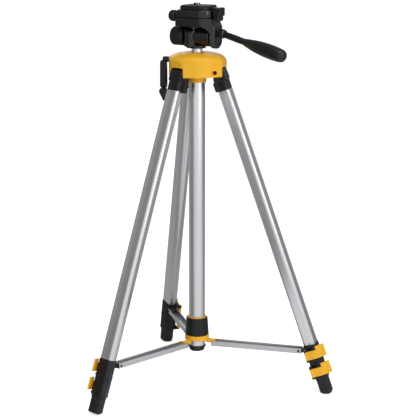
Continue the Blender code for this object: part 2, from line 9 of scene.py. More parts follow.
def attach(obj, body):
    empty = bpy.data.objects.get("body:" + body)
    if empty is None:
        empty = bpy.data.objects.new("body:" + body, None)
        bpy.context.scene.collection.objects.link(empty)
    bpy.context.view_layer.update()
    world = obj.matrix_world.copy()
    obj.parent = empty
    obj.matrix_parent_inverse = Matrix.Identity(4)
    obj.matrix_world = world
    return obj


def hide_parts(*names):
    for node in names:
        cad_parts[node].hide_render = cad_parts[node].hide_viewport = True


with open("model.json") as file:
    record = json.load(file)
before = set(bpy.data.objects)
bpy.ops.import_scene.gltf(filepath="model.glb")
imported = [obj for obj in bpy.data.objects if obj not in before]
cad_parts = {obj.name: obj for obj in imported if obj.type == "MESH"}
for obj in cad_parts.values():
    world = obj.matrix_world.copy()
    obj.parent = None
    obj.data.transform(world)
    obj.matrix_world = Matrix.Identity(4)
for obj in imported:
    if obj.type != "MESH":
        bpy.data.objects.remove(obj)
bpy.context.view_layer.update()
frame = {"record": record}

# Sizes are in millimetres, in the frame of the sub-assembly that a piece belongs to.
MM = 0.001
GAP = 0.3
LEG_LENGTH = 501.6  # hinge to the middle of the foot's end
LEG_CIRCLES = ((5.3, 7.1, 4.5), (5.3, -7.1, 4.5), (-2.0, 0.0, 8.0), (3.5, 0.0, 7.0))
TUBE_WALL = 1.2
FOOT_TOP, LOWER_COLLAR_TOP, UPPER_COLLAR_TOP, TUBE_TOP = 24.0, 50.0, 77.0, 473.0
COLLAR_PROUD = 0.9
BAND_STATIONS, BAND_HALF = (272.0, 334.0), 4.6
LEVER_LOWS = (56.4, 29.6)
LEVER_PIVOT = (-7.4, -14.6)
HINGE_RHO, HINGE_Z, PIN_RADIUS = 32.3, 474.0, 2.9
CROWN_BOTTOM, CROWN_TOP = 467.5, 501.4
SLOT_INNER, SLOT_TOP, SLOT_HALF = 19.1, 481.0, 12.3
TUBE_RADIUS, COLUMN_RADIUS = 12.0, 8.1
TUBE_BOTTOM, TUBE_HEAD, COLUMN_TOP = 54.3, 480.0, 506.5
HUB_BOTTOM, HUB_TOP, HUB_RADIUS, SLEEVE_TOP = 66.8, 74.3, 18.3, 101.5
TILT_Z, BARREL_RADIUS, SWING_RADIUS = 523.0, 13.2, 14.9
HOUSING_BOTTOM, SKIRT_BOTTOM, SEAM_Z = 538.4, 529.4, 550.5
PLATFORM_TOP, PLATE_TOP = 562.6, 568.6
HEAD_LEFT, HEAD_RIGHT, HEAD_HALF_DEPTH, HEAD_ROUND = -23.8, 28.9, 20.0, 18.0
HOUSING_LEFT, ARM_INNER, ARM_OUTER = -27.5, 27.0, 34.0
SCREW_AT, STUD_AT = (2.5, -1.0, 0.0), (-4.5, 2.0, 0.0)
FLIP_KNOB_AT = (0.0, -6.0, 552.4)
POST_AT = (-7.4, -4.2)
CROWN_ROUND, CORNER_OUT, CORNER_SIDE, CORNER_RADIUS = 41.0, 30.6, 7.6, 11.8
ARCH_CURVE = 13.0

# The camera and the floor are in metres and degrees.
CAMERA_FROM_COLUMN, CAMERA_DOWN = (-0.0018, -2.0404, 0.7331), 12.893
CAMERA_LENS, CAMERA_SHIFT = 120.8, 0.0339
FLOOR_RADIUS, FLOOR_DROP = 20.0, 0.0003


# Frames of the sub-assemblies, read from the joints ------------------------------------------

JOINTS = {joint["name"]: joint for joint in frame["record"]["behaviour"]["joints"]}


def axes(origin, x=None, y=None, z=None):
    """A matrix with its origin and two of its axes given."""
    x, y, z = (Vector(v).normalized() if v is not None else None for v in (x, y, z))
    if x is None:
        x = y.cross(z).normalized()
    if y is None:
        y = z.cross(x).normalized()
    if z is None:
        z = x.cross(y).normalized()
    matrix = Matrix((x, y, z)).transposed().to_4x4()
    matrix.translation = Vector(origin)
    return matrix


UP = Vector((0, 0, 1))
AXIS = Vector(JOINTS["pan_turn"]["pos_m"])
COLUMN = Matrix.Translation((AXIS.x, AXIS.y, 0.0))
HEAD = axes(COLUMN.translation, x=JOINTS["tilt"]["axis"], z=UP)
HANDLE_WAY = Vector(JOINTS["handle_twist"]["axis"])
HANDLE = axes(JOINTS["handle_twist"]["pos_m"], x=-UP + HANDLE_WAY * HANDLE_WAY.z, z=HANDLE_WAY)
CRANK = axes(JOINTS["crank_turn"]["pos_m"], x=JOINTS["crank_turn"]["axis"], z=UP)
CRANK_GRIP = axes(JOINTS["crank_grip_fold"]["pos_m"], x=JOINTS["crank_turn"]["axis"], z=UP)


def leg_frame(number):
    fold = JOINTS[f"leg_{number}_fold"]
    down = Vector(JOINTS[f"leg_{number}_middle_slide"]["axis"])
    return axes(fold["pos_m"], y=fold["axis"], z=-down)


def plan_frame(number):
    """Origin on the column's axis at the ground, x towards the leg."""
    return axes(COLUMN.translation, y=JOINTS[f"leg_{number}_fold"]["axis"], z=UP)


def brace_frame(number):
    swing = JOINTS[f"brace_{number}_swing"]
    return axes(swing["pos_m"], y=swing["axis"], z=UP)


# Outlines ------------------------------------------------------------------------------------


def hull(circles, offset=0.0, steps=96):
    """Outline of a band stretched round circles, grown by offset."""
    points = []
    for step in range(steps):
        angle = math.tau * (step + 0.5) / steps
        way = Vector((math.cos(angle), math.sin(angle)))
        x, y, radius = max(circles, key=lambda c: way.dot(Vector(c[:2])) + c[2])
        points.append(Vector((x, y)) + way * (radius + offset))
    return points


def turned_by(way, degrees):
    return Matrix.Rotation(math.radians(degrees), 2) @ way


def arc(centre, radius, start, end, steps):
    angles = [math.radians(start + (end - start) * n / steps) for n in range(steps + 1)]
    x, y = centre
    return [Vector((x + radius * math.cos(a), y + radius * math.sin(a))) for a in angles]


def smooth_path(points, steps=8):
    """Points along a Catmull-Rom curve through the given ones."""
    points = [Vector(p) for p in points]
    ends = [points[0] * 2 - points[1], *points, points[-1] * 2 - points[-2]]
    found = []
    for a, b, c, d in zip(ends, ends[1:], ends[2:], ends[3:]):
        for n in range(steps):
            t = n / steps
            square, cube = 2 * a - 5 * b + 4 * c - d, 3 * b - a - 3 * c + d
            found.append(0.5 * (2 * b + (c - a) * t + square * t**2 + cube * t**3))
    return [*found, points[-1]]


def band(path, half, end_steps=8):
    """Outline of a strip of even thickness along a path, with round ends."""
    sides = []
    for index in range(len(path)):
        along = (path[min(index + 1, len(path) - 1)] - path[max(index - 1, 0)]).normalized()
        sides.append(Vector((-along.y, along.x)) * half)
    outline = [point + side for point, side in zip(path, sides)]
    outline += [path[-1] + turned_by(sides[-1], -180 * n / end_steps) for n in range(1, end_steps)]
    outline += [point - side for point, side in reversed(list(zip(path, sides)))]
    outline += [path[0] - turned_by(sides[0], -180 * n / end_steps) for n in range(1, end_steps)]
    return outline


def fillet(profile, radius, steps=4, ring=False):
    """A profile with its corners rounded."""
    profile = [Vector(p) for p in profile]
    rounded = []
    count = len(profile)
    for index, corner in enumerate(profile):
        if not ring and index in (0, count - 1):
            rounded.append(corner)
            continue
        before, after = profile[index - 1] - corner, profile[(index + 1) % count] - corner
        cut = min(radius, before.length * 0.45, after.length * 0.45)
        start, end = corner + before.normalized() * cut, corner + after.normalized() * cut
        for n in range(steps + 1):
            t = n / steps
            rounded.append(start * (1 - t) ** 2 + corner * 2 * t * (1 - t) + end * t**2)
    return rounded


# Solids --------------------------------------------------------------------------------------


def to_object(name, shape, matrix):
    """An object from a bmesh in millimetres, placed by its frame."""
    bmesh.ops.recalc_face_normals(shape, faces=shape.faces)
    bmesh.ops.scale(shape, vec=(MM, MM, MM), verts=shape.verts)
    mesh = bpy.data.meshes.new(name)
    shape.to_mesh(mesh)
    shape.free()
    made = bpy.data.objects.new(name, mesh)
    made.matrix_world = matrix
    bpy.context.scene.collection.objects.link(made)
    return made


TURNS = {
    "z": Matrix.Identity(4),
    "x": Matrix(((0, 0, 1, 0), (0, 1, 0, 0), (-1, 0, 0, 0), (0, 0, 0, 1))),
    "y": Matrix(((1, 0, 0, 0), (0, 0, 1, 0), (0, -1, 0, 0), (0, 0, 0, 1))),
}
# "x": the shape's z runs along the frame's x, and its x along -z.
# "y": the shape's z runs along the frame's y, and its y along -z.


def prism(name, outline, low, high, matrix, along="z", at=(0, 0, 0)):
    shape = bmesh.new()
    rings = [[shape.verts.new((p[0], p[1], z)) for p in outline] for z in (low, high)]
    for n in range(len(outline)):
        following = (n + 1) % len(outline)
        shape.faces.new((rings[0][n], rings[0][following], rings[1][following], rings[1][n]))
    shape.faces.new(rings[0])
    shape.faces.new(rings[1])
    shape.transform(Matrix.Translation(at) @ TURNS[along])
    return to_object(name, shape, matrix)


def lathe(name, profile, matrix, along="z", at=(0, 0, 0), steps=72, ring=False):
    """A turned solid: (radius, z) points; a ring's profile closes on itself."""
    shape = bmesh.new()
    rings = []
    for radius, z in profile:
        if radius < 1e-4:
            rings.append([shape.verts.new((0, 0, z))] * steps)
            continue
        angles = [math.tau * n / steps for n in range(steps)]
        rings.append([shape.verts.new((radius * math.cos(a), radius * math.sin(a), z)) for a in angles])
    pairs = list(zip(rings, rings[1:] + rings[:1] if ring else rings[1:]))
    for first, second in pairs:
        for n in range(steps):
            following = (n + 1) % steps
            corners = []
            for corner in (first[n], first[following], second[following], second[n]):
                if corner not in corners:
                    corners.append(corner)
            if len(corners) > 2:
                shape.faces.new(corners)
    shape.transform(Matrix.Translation(at) @ TURNS[along])
    return to_object(name, shape, matrix)


def rod(name, radius, low, high, matrix, along="z", at=(0, 0, 0), edge=0.3, steps=40):
    profile = fillet([(0, high), (radius, high), (radius, low), (0, low)], edge)
    return lathe(name, profile, matrix, along, at, steps)


def block(name, low, high, matrix, edge=0.0, segments=3):
    shape = bmesh.new()
    bmesh.ops.create_cube(shape, size=1.0)
    low, high = Vector(low), Vector(high)
    bmesh.ops.scale(shape, vec=high - low, verts=shape.verts)
    bmesh.ops.translate(shape, vec=(high + low) / 2, verts=shape.verts)
    if edge:
        bmesh.ops.bevel(
            shape, geom=shape.edges[:], offset=edge, segments=segments, affect="EDGES", profile=0.5
        )
    return to_object(name, shape, matrix)


def settle(target):
    """Applies the modifiers."""
    graph = bpy.context.evaluated_depsgraph_get()
    mesh = bpy.data.meshes.new_from_object(target.evaluated_get(graph))
    target.modifiers.clear()
    target.data = mesh
    return target


def combine(target, operation, tools):
    for tool in tools:
        boolean = target.modifiers.new(operation, "BOOLEAN")
        boolean.operation = operation
        boolean.object = tool
        boolean.solver = "MANIFOLD"
    settle(target)
    for tool in tools:
        bpy.data.objects.remove(tool)
    return target


def join(target, *tools):
    return combine(target, "UNION", tools)


def cut(target, *tools):
    return combine(target, "DIFFERENCE", tools)


def keep(target, *tools):
    return combine(target, "INTERSECT", tools)


def mould(target, grain=0.5, passes=4, keep_faces=0.35):
    """Rounds every edge as moulded plastic is: fine remesh, a few smoothing passes, then fewer faces."""
    remesh = target.modifiers.new("remesh", "REMESH")
    remesh.mode = "VOXEL"
    remesh.voxel_size = grain * MM
    smooth = target.modifiers.new("smooth", "SMOOTH")
    smooth.factor = 0.5
    smooth.iterations = passes
    fewer = target.modifiers.new("fewer", "DECIMATE")
    fewer.ratio = keep_faces
    settle(target)
    target.data.shade_smooth()
    return target


def bevel(target, width, segments=3, angle=35):
    made = target.modifiers.new("edges", "BEVEL")
    made.width = width * MM
    made.segments = segments
    made.limit_method = "ANGLE"
    made.angle_limit = math.radians(angle)
    made.harden_normals = False
    return settle(target)


def crisp(target, angle=40):
    """Smooth faces with sharp edges kept."""
    target.data.shade_smooth()
    target.data.set_sharp_from_angle(angle=math.radians(angle))
    return target


# Materials -----------------------------------------------------------------------------------


class Nodes:
    """Builds one material's nodes on its Principled shader."""

    def __init__(self, name, roughness, metallic=0.0):
        self.material = bpy.data.materials.new(name)
        self.material.use_nodes = True
        self.tree = self.material.node_tree
        self.shader = self.tree.nodes["Principled BSDF"]
        self.shader.inputs["Roughness"].default_value = roughness
        self.shader.inputs["Metallic"].default_value = metallic
        self.coordinates = self.tree.nodes.new("ShaderNodeTexCoord")

    def link(self, source, target):
        self.tree.links.new(source, target)

    def noise(self, scale, detail=3.0, stretch=(1, 1, 1), distortion=0.0):
        """Noise whose scale is in features per metre, stretched along an axis."""
        mapping = self.tree.nodes.new("ShaderNodeMapping")
        mapping.inputs["Scale"].default_value = stretch
        self.link(self.coordinates.outputs["Object"], mapping.inputs["Vector"])
        made = self.tree.nodes.new("ShaderNodeTexNoise")
        made.inputs["Scale"].default_value = scale
        made.inputs["Detail"].default_value = detail
        made.inputs["Distortion"].default_value = distortion
        self.link(mapping.outputs["Vector"], made.inputs["Vector"])
        return made.outputs["Fac"]

    def ramp(self, factor, *stops):
        made = self.tree.nodes.new("ShaderNodeValToRGB")
        elements = made.color_ramp.elements
        while len(elements) < len(stops):
            elements.new(0.5)
        for element, (place, colour) in zip(elements, stops):
            element.position = place
            element.color = (*colour, 1.0)
        self.link(factor, made.inputs["Fac"])
        return made.outputs["Color"]

    def spread(self, factor, low, high, start=0.3, end=0.7):
        made = self.tree.nodes.new("ShaderNodeMapRange")
        made.inputs["From Min"].default_value = start
        made.inputs["From Max"].default_value = end
        made.inputs["To Min"].default_value = low
        made.inputs["To Max"].default_value = high
        self.link(factor, made.inputs["Value"])
        return made.outputs["Result"]

    def bump(self, height, strength, depth_mm, under=None):
        made = self.tree.nodes.new("ShaderNodeBump")
        made.inputs["Strength"].default_value = strength
        made.inputs["Distance"].default_value = depth_mm * MM
        self.link(height, made.inputs["Height"])
        if under is not None:
            self.link(under, made.inputs["Normal"])
        return made.outputs["Normal"]

    def finish(self, colour=None, roughness=None, normal=None):
        for socket, source in (("Base Color", colour), ("Roughness", roughness), ("Normal", normal)):
            if source is not None:
                self.link(source, self.shader.inputs[socket])
        return self.material


def tint(colour, factor):
    return tuple(min(1.0, channel * factor) for channel in colour)


def plastic(
    name, colour, roughness, variation=0.06, grain=1400.0, grain_depth=0.03, coat=0.0, specular=0.5
):
    """Moulded plastic: spark-eroded grain, faint flow marks and handling shine."""
    made = Nodes(name, roughness)
    made.shader.inputs["Specular IOR Level"].default_value = specular
    made.shader.inputs["Coat Weight"].default_value = coat
    made.shader.inputs["Coat Roughness"].default_value = 0.25
    flow = made.noise(22.0, 4.0, (1, 1, 0.4), 0.6)
    colours = made.ramp(flow, (0.3, tint(colour, 1 - variation)), (0.7, tint(colour, 1 + variation)))
    wear = made.noise(160.0, 5.0)
    rough = made.spread(wear, roughness - 0.06, roughness + 0.07)
    fine = made.bump(made.noise(grain, 2.0), 0.35, grain_depth)
    wavy = made.bump(made.noise(60.0, 2.0), 0.15, 0.12, fine)
    return made.finish(colours, rough, wavy)


def rubber(name, colour, roughness=0.72):
    made = Nodes(name, roughness)
    made.shader.inputs["Specular IOR Level"].default_value = 0.35
    dust = made.noise(90.0, 6.0)
    colours = made.ramp(dust, (0.35, colour), (0.75, tint(colour, 1.7)))
    rough = made.spread(dust, roughness - 0.05, roughness + 0.12)
    return made.finish(colours, rough, made.bump(made.noise(1100.0, 3.0), 0.5, 0.05))


def anodised(name, colour, roughness):
    """Drawn and anodised tube: hair-fine lines along it and a soft sheen."""
    made = Nodes(name, roughness, 1.0)
    lines = made.noise(1500.0, 2.0, (1, 1, 0.006))
    clouds = made.noise(14.0, 4.0, (1, 1, 0.35))
    colours = made.ramp(clouds, (0.3, tint(colour, 0.96)), (0.7, tint(colour, 1.03)))
    rough = made.spread(lines, roughness - 0.05, roughness + 0.06)
    return made.finish(colours, rough, made.bump(lines, 0.18, 0.012))


def plated(name, colour, roughness):
    made = Nodes(name, roughness, 1.0)
    clouds = made.noise(300.0, 4.0)
    colours = made.ramp(clouds, (0.3, tint(colour, 0.93)), (0.7, tint(colour, 1.04)))
    rough = made.spread(clouds, roughness - 0.05, roughness + 0.08)
    return made.finish(colours, rough, made.bump(clouds, 0.1, 0.02))


YELLOW = plastic("yellow_abs", (0.86, 0.44, 0.020), 0.40, 0.04, coat=0.05, specular=0.3)
BLACK = plastic("black_nylon", (0.0080, 0.0080, 0.0085), 0.36, 0.2, specular=0.32)
GLOSSY = plastic("black_polished", (0.0050, 0.0051, 0.0056), 0.22, 0.15, specular=0.55)
RUBBER = rubber("black_rubber", (0.0105, 0.010, 0.010), 0.55)
GRIP = plastic("soft_grip", (0.0075, 0.0073, 0.0072), 0.30, 0.2, 900.0, 0.05, specular=0.42)
SILVER = anodised("anodised_tube", (0.72, 0.725, 0.73), 0.34)
BRACE = anodised("brace_channel", (0.56, 0.56, 0.57), 0.42)
STEEL = plated("plated_steel", (0.40, 0.40, 0.41), 0.26)
# Steel made near black. On the hinge pins this dark is painted shade, standing for the shadow in the
# crown's pin holes; the twist stud is given the same dark steel.
DARK_STEEL_PIN_SHADE = plated("dark_steel_pin_shade", (0.045, 0.034, 0.024), 0.45)
PRINT = plastic("printed_band", (0.02, 0.02, 0.022), 0.45, 0.1)
NODE_BODY = {}
for body_name, members in frame["record"]["behaviour"]["bodies"].items():
    for member in members:
        NODE_BODY[member] = body_name


def place(piece, look, node):
    """The piece takes a material and stands for its CAD node, riding on that node's body."""
    piece.data.materials.clear()
    piece.data.materials.append(look)
    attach(piece, NODE_BODY[node])
    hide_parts(node)
    return piece


def add(piece, look, node):
    """A detail that rides with a node's body and stands for nothing by itself."""
    piece.data.materials.clear()
    piece.data.materials.append(look)
    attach(piece, NODE_BODY[node])
    return piece


# Camera, light and floor ---------------------------------------------------------------------


def make_camera():
    camera = bpy.data.objects.new("camera", bpy.data.cameras.new("camera"))
    camera.location = COLUMN.translation + Vector(CAMERA_FROM_COLUMN)
    camera.rotation_euler = (math.radians(90 - CAMERA_DOWN), 0, 0)
    camera.data.sensor_width = 36.0
    camera.data.lens = CAMERA_LENS
    camera.data.shift_x = CAMERA_SHIFT
    camera.data.clip_end = 100.0
    bpy.context.scene.collection.objects.link(camera)
    bpy.context.scene.camera = camera
    bpy.context.scene.view_settings.view_transform = "Standard"


# Brightness of the room from behind the object (0) round to its front right (1)
ROOM_LIGHT = ((0.0, 0.46), (0.30, 0.34), (0.50, 0.17), (0.62, 0.34), (0.74, 0.84), (1.0, 0.98))
ROOM_FACES = Vector((0.36, -0.90, 0.24)).normalized()


def seen_or_not(tree, seen, unseen):
    """One shader where the surface is looked at directly, another where it only lights the object."""
    path, mix = tree.nodes.new("ShaderNodeLightPath"), tree.nodes.new("ShaderNodeMixShader")
    tree.links.new(path.outputs["Is Camera Ray"], mix.inputs[0])
    tree.links.new(unseen.outputs[0], mix.inputs[1])
    tree.links.new(seen.outputs[0], mix.inputs[2])
    return mix.outputs[0]


def room_light(tree, way):
    """The room's colour in the direction of a vector."""
    unit, facing = tree.nodes.new("ShaderNodeVectorMath"), tree.nodes.new("ShaderNodeVectorMath")
    unit.operation, facing.operation = "NORMALIZE", "DOT_PRODUCT"
    facing.inputs[1].default_value = ROOM_FACES
    share, ramp = tree.nodes.new("ShaderNodeMapRange"), tree.nodes.new("ShaderNodeValToRGB")
    share.inputs["From Min"].default_value = -1.0
    elements = ramp.color_ramp.elements
    while len(elements) < len(ROOM_LIGHT):
        elements.new(0.5)
    for element, (place_on_ramp, brightness) in zip(elements, ROOM_LIGHT):
        element.position = place_on_ramp
        element.color = (brightness * 0.985, brightness, brightness * 1.02, 1)
    tree.links.new(way, unit.inputs[0])
    tree.links.new(unit.outputs["Vector"], facing.inputs[0])
    tree.links.new(facing.outputs["Value"], share.inputs["Value"])
    tree.links.new(share.outputs["Result"], ramp.inputs["Fac"])
    return ramp.outputs["Color"]


def make_world():
    """White behind the object. Its light is a room that is bright at the front right."""
    world = bpy.data.worlds.new("studio")
    world.use_nodes = True
    tree = world.node_tree
    room, white = tree.nodes["Background"], tree.nodes.new("ShaderNodeBackground")
    white.inputs["Color"].default_value = (1, 1, 1, 1)
    coordinates = tree.nodes.new("ShaderNodeTexCoord")
    tree.links.new(room_light(tree, coordinates.outputs["Generated"]), room.inputs["Color"])
    room.inputs["Strength"].default_value = 1.0
    tree.links.new(seen_or_not(tree, white, room), tree.nodes["World Output"].inputs["Surface"])
    bpy.context.scene.world = world


def make_lights():
    # Name, place, target height, width and height of the softbox, power
    softboxes = (
        ("key", (1.25, -1.45, 1.1), 0.30, 0.40, 1.6, 8.0),
        ("top", (0.1, -0.5, 1.9), 0.40, 0.8, 0.8, 6.0),
        ("back", (-0.4, 2.2, 1.15), 0.50, 1.4, 0.5, 4.5),
    )
    for name, spot, target, width, height, power in softboxes:
        data = bpy.data.lights.new(name, "AREA")
        data.shape = "RECTANGLE"
        data.size, data.size_y = width, height
        data.energy = power
        light = bpy.data.objects.new(name, data)
        light.location = spot
        light.rotation_euler = (Vector(spot) - Vector((0, 0, target))).to_track_quat("Z", "Y").to_euler()
        bpy.context.scene.collection.objects.link(light)


def make_floor():
    shape = bmesh.new()
    bmesh.ops.create_circle(shape, cap_ends=True, segments=96, radius=FLOOR_RADIUS)
    mesh = bpy.data.meshes.new("floor")
    shape.to_mesh(mesh)
    shape.free()
    floor = bpy.data.objects.new("floor", mesh)
    floor.location.z = -FLOOR_DROP
    bpy.context.scene.collection.objects.link(floor)
    pale = Nodes("pale_floor", 0.9)
    pale.shader.inputs["Specular IOR Level"].default_value = 0.1
    pale.shader.inputs["Emission Color"].default_value = (1, 1, 1, 1)
    pale.shader.inputs["Emission Strength"].default_value = 0.62
    pale.finish(pale.ramp(pale.noise(3.0), (0.3, (0.9, 0.9, 0.9)), (0.7, (0.93, 0.93, 0.93))))
    unseen = pale.tree.nodes.new("ShaderNodeEmission")
    pale.link(room_light(pale.tree, pale.coordinates.outputs["Object"]), unseen.inputs["Color"])
    unseen.inputs["Strength"].default_value = 0.9
    surface = pale.tree.nodes["Material Output"].inputs["Surface"]
    pale.link(seen_or_not(pale.tree, pale.shader, unseen), surface)
    mesh.materials.append(pale.material)


# Legs ----------------------------------------------------------------------------------------


def leg_prism(name, low, high, offset, leg, steps=96):
    return prism(name, hull(LEG_CIRCLES, offset, steps), low - LEG_LENGTH, high - LEG_LENGTH, leg)


def leg_tube(name, low, high, offset, leg):
    tube = leg_prism(name, low, high, offset, leg)
    bore = leg_prism("bore", low - 1, high + 1, offset - TUBE_WALL, leg)
    return crisp(bevel(cut(tube, bore), 0.2, 2, 60), 50)


def collar(name, low, high, leg, offset, lever_low, number=0):
    """Clamp collar: a lip at its mouth, ears for the lever, and a lug for the brace."""
    body = leg_prism(name, low, high, COLLAR_PROUD, leg)
    lip = leg_prism("lip", low, low + 2.2, COLLAR_PROUD + 0.35, leg)
    x, y = LEVER_PIVOT
    tools = [lip]
    for z in (lever_low - 2.6, lever_low + 13.4):
        tools.append(prism("ear", hull([(x, y, 2.7), (x + 1.5, y + 6.0, 4.2)], steps=40),
                           z - LEG_LENGTH, z + 2.4 - LEG_LENGTH, leg))
    tools.append(prism("clamp_pad", hull([(x + 6, y + 4.2, 1.6), (x + 14, y + 4.4, 1.6)], steps=32),
                       lever_low - 3.4 - LEG_LENGTH, lever_low - 0.6 - LEG_LENGTH, leg))
    base = lever_low - LEG_LENGTH
    tools.append(block("nub", (4.0, -13.4, base - 4.2), (9.0, -9.0, base - 1.2), leg, 0.8))
    join(body, *tools)
    join(body, rod("lever_pin", 1.2, base - 1.5, base + 14.5, leg, at=(x, y, 0)))
    if number:
        pivot = brace_frame(number)
        lug = prism("lug", hull([(0, 0, 2.4), (9.0, 1.0, 3.2)], steps=48), -4.0, 4.0, pivot, "y")
        # The outline's y runs along -z in this frame, so the lug is mirrored to rise outward.
        lug.data.transform(Matrix.Scale(-1, 4, (0, 0, 1)))
        lug.data.flip_normals()
        join(body, lug)
        join(body, rod("rivet", 1.6, -7.7, 7.7, pivot, "y"))
    bore = leg_prism("bore", low - 1, high + 1, offset + GAP, leg)
    socket = leg_prism("socket", high - 8.4, high + 2, offset + TUBE_WALL + GAP + 0.15, leg)
    cut(body, bore)
    cut(body, socket)
    return crisp(bevel(body, 0.35, 2, 38), 42)


def lever(name, low, leg):
    """Yellow clamp lever: barrel, band along the collar and a ribbed thumb tab."""
    x, y = LEVER_PIVOT
    path = smooth_path([(x, y), (0, -14.8), (5, -14.6), (9, -13.4), (13, -11.4), (17, -9.2), (20, -7.6)])
    base = low + 0.2 - LEG_LENGTH
    body = prism(name, band(path, 1.25), base, base + 12.6, leg)
    tab_path = [point for point in path if point.x > 9.0]
    tab = prism("tab", band(tab_path, 1.25), base + 0.4, base + 18.0, leg)
    barrel = rod("barrel", 2.5, base, base + 12.6, leg, at=(x, y, 0))
    join(body, tab, barrel)
    ribs = []
    for n in range(5):
        on_path = path[-2 - 2 * n]
        spot = (on_path.x, on_path.y - 1.15, 0)
        ribs.append(rod("rib", 0.75, base + 2.0, base + 16.6, leg, at=spot, steps=16))
    join(body, *ribs)
    cut(body, rod("bore", 1.5, base - 2, base + 20, leg, at=(x, y, 0), steps=32))
    return crisp(bevel(body, 0.45, 3, 40), 45)


def foot(name, leg, number):
    body = leg_prism(name, -1.5, FOOT_TOP - GAP, -0.9, leg)
    cuff = leg_prism("cuff", FOOT_TOP - 3.4, FOOT_TOP - GAP, -0.35, leg)
    bevel(body, 1.6, 4, 50)
    join(body, cuff)
    grooves = []
    for height in (5.0, 8.2, 11.4):
        ring = leg_prism("groove", height, height + 0.9, 1.5, leg, 64)
        grooves.append(cut(ring, leg_prism("inner", height - 1, height + 2, -1.45, leg, 64)))
    cut(body, *grooves)
    cut(body, leg_prism("socket", 8.0, FOOT_TOP + 2, -2.7, leg, 64))
    cut(body, block("ground", (100, -60, -30), (280, 60, 0.0), plan_frame(number)))
    return crisp(body, 40)


def bracket(name, leg):
    """Hinge bracket: head in the crown's slot, shoulder, inner step and the plug in the tube."""
    side = hull([(0, 0, 6.2), (3.8, -2.0, 6.0), (-6, -12, 3), (7.5, -12, 3)], steps=96)
    head = prism(name, [Vector((p.x, -p.y)) for p in side], -11.4, 11.4, leg, "y")
    shoulder = leg_prism("shoulder", TUBE_TOP + GAP, 491.0, 0.0, leg)
    step = block("step", (-11.6, -10.6, -28.2), (-4.0, 10.6, -14.0), leg, 1.4)
    join(head, shoulder, step)
    lighten = []
    for sign in (-1, 1):
        side_y = sign * 11.6
        lighten.append(block("pocket", (-2.6, side_y - 0.9, -12.5), (7.2, side_y + 0.9, -6.8), leg, 0.7))
    cut(head, *lighten)
    mould(head, 0.5, 5, 0.5)
    join(head, leg_prism("plug", 446.0, TUBE_TOP + 2, -TUBE_WALL - GAP, leg))
    cut(head, rod("bore", PIN_RADIUS + GAP, -30, 30, leg, "y"))
    return crisp(head, 60)


def brace(name, number):
    """Channel with rounded bends, open upward, a pressed groove along its floor and rivet heads."""
    pivot = brace_frame(number)
    length, half, height, wall = 134.1, 6.9, 4.0, 1.2
    outside = fillet([(-half, height), (-half, -height), (half, -height), (half, height)], 1.8, 5)
    inner, floor = half - wall, -height + wall
    inside = fillet([(inner, height), (inner, floor), (-inner, floor), (-inner, height)], 0.8, 4)
    section = [Vector((-p.y, p.x)) for p in outside + inside]
    body = prism(name, section, -length, 4.0, pivot, "x")
    bevel(body, 0.18, 2, 60)
    low_corner, high_corner = (-length + 12, -1.6, -height - 1), (-14, 1.6, -height + 0.35)
    cut(body, block("groove", low_corner, high_corner, pivot, 0.3, 2))
    cut(body, rod("bore", 1.9, -20, 20, pivot, "y"))
    for low, high in ((half - 0.6, half + 0.75), (-half - 0.75, -half + 0.6)):
        join(body, rod("rivet", 1.7, low, high, pivot, "y", (3.6 - length, 0, 0), 0.5))
    return crisp(body, 45)


def make_leg(number):
    leg = leg_frame(number)
    prefix = f"leg_{number}_"
    second, third = TUBE_WALL + GAP, 2 * (TUBE_WALL + GAP)

    place(leg_tube(prefix + "tube_a", 69.0, TUBE_TOP, 0.0, leg), SILVER, prefix + "upper_tube")
    place(leg_tube(prefix + "tube_b", 44.0, 430.0, -second, leg), SILVER, prefix + "middle_tube")
    place(leg_tube(prefix + "tube_c", 8.5, 410.0, -third, leg), SILVER, prefix + "lower_tube")
    place(bracket(prefix + "hinge_bracket", leg), BLACK, prefix + "bracket")
    upper_low, lower_low = LEVER_LOWS
    upper = collar(
        prefix + "clamp_a", LOWER_COLLAR_TOP + GAP, UPPER_COLLAR_TOP, leg, -second, upper_low, number
    )
    place(upper, BLACK, prefix + "upper_collar")
    lower = collar(prefix + "clamp_b", FOOT_TOP, LOWER_COLLAR_TOP, leg, -third, lower_low)
    place(lower, BLACK, prefix + "lower_collar")
    place(lever(prefix + "lever_a", upper_low, leg), YELLOW, prefix + "upper_lever")
    place(lever(prefix + "lever_b", lower_low, leg), YELLOW, prefix + "lower_lever")
    place(foot(prefix + "rubber_foot", leg, number), RUBBER, prefix + "foot")
    place(brace(f"brace_{number}_channel", number), BRACE, f"brace_{number}")
    plan = plan_frame(number)
    if number == 1:
        low, high = (station - LEG_LENGTH for station in BAND_STATIONS)
        label = block("printed_band", (9.5, -BAND_HALF, low), (9.92, BAND_HALF, high), leg, 0.1)
        add(crisp(label), PRINT, prefix + "upper_tube")
    # The hinge pin's near-black steel is painted shade: the pin shows as the dark of its hole in the
    # crown.
    pin = rod(prefix + "pin_bar", PIN_RADIUS, -14.6, 16.5, plan, "y", (HINGE_RHO, 0, HINGE_Z), 0.6)
    place(pin, DARK_STEEL_PIN_SHADE, prefix + "hinge_pin")


# Crown, column and spreader ------------------------------------------------------------------


def crown_plan():
    """Circles of the crown's plan: a round body, a little fuller beside each leg's slot."""
    circles = [(0, 0, CROWN_ROUND)]
    for number in (1, 2, 3):
        turn = COLUMN.inverted() @ plan_frame(number)
        out, side = turn.col[0].to_2d(), turn.col[1].to_2d()
        for sign in (-1, 1):
            corner = out * CORNER_OUT + side * (sign * CORNER_SIDE)
            circles.append((corner.x, corner.y, CORNER_RADIUS))
    return circles


